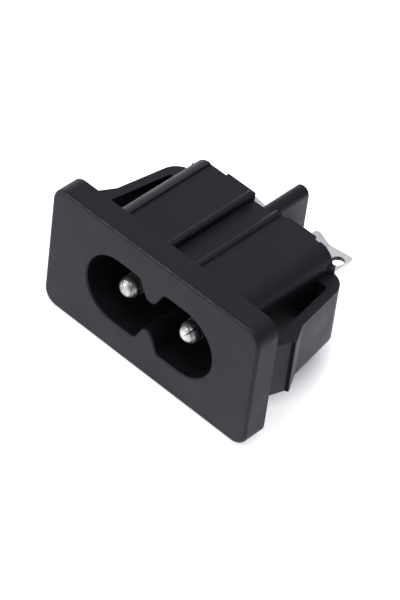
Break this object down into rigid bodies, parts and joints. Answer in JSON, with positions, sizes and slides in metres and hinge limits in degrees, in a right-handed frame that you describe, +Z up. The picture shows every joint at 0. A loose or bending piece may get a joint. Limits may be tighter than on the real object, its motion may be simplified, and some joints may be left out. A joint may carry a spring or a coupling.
{
  "type": "panel-mount power inlet",
  "caption": "Snap-in panel power inlet with a rectangular flange, a figure-8 socket with round pins, spring wings at both ends and pierced solder tails behind.",
  "frame": {"origin": "centre of the flange's rear face, where it lies against the panel", "axes": "+X to the right as seen from the front, +Y into the panel, +Z up"},
  "size_m": [0.029, 0.0229, 0.016],
  "materials": {
    "moulded_nylon": "black moulded nylon, fine satin grain",
    "plated_contact": "bright nickel plate over rolled brass sheet"
  },
  "bodies": {
    "root": {"housing": "moulded_nylon", "contact_left": "plated_contact", "contact_right": "plated_contact"}
  },
  "joints": []
}
